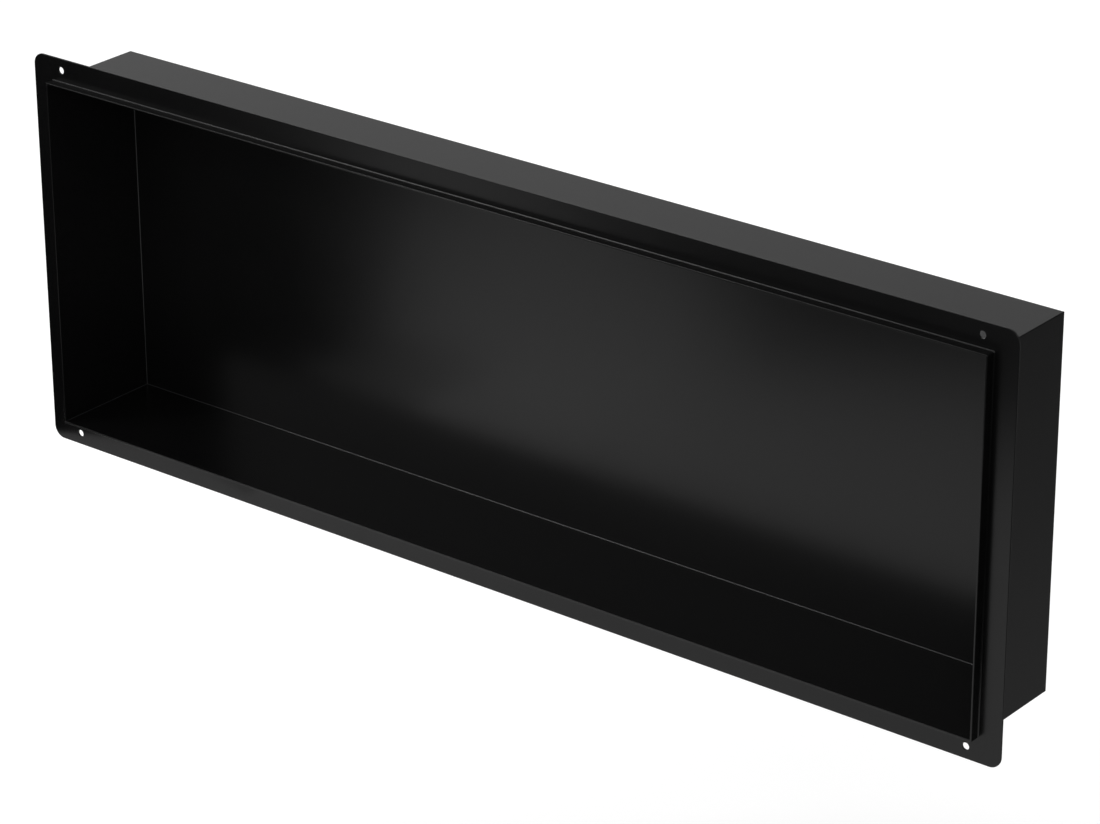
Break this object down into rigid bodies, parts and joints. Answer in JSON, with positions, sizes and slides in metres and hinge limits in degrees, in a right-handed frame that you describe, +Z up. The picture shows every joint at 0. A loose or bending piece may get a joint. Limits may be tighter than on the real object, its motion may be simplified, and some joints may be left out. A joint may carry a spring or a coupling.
{
  "type": "shower niche insert",
  "caption": "Open-fronted rectangular steel niche for a shower wall, with a lip for the tiles and a flat screw-on flange set back around it.",
  "frame": {"origin": "centre of the four screw holes, on the wall that the flange lies on", "axes": "+X to the right as seen from the front, +Y into the wall, +Z up"},
  "size_m": [0.94, 0.1, 0.34],
  "materials": {
    "coated_steel": "satin black coat on steel sheet"
  },
  "bodies": {
    "root": {"niche_box": "coated_steel", "mounting_flange": "coated_steel", "seam_weld": "coated_steel"}
  },
  "joints": []
}
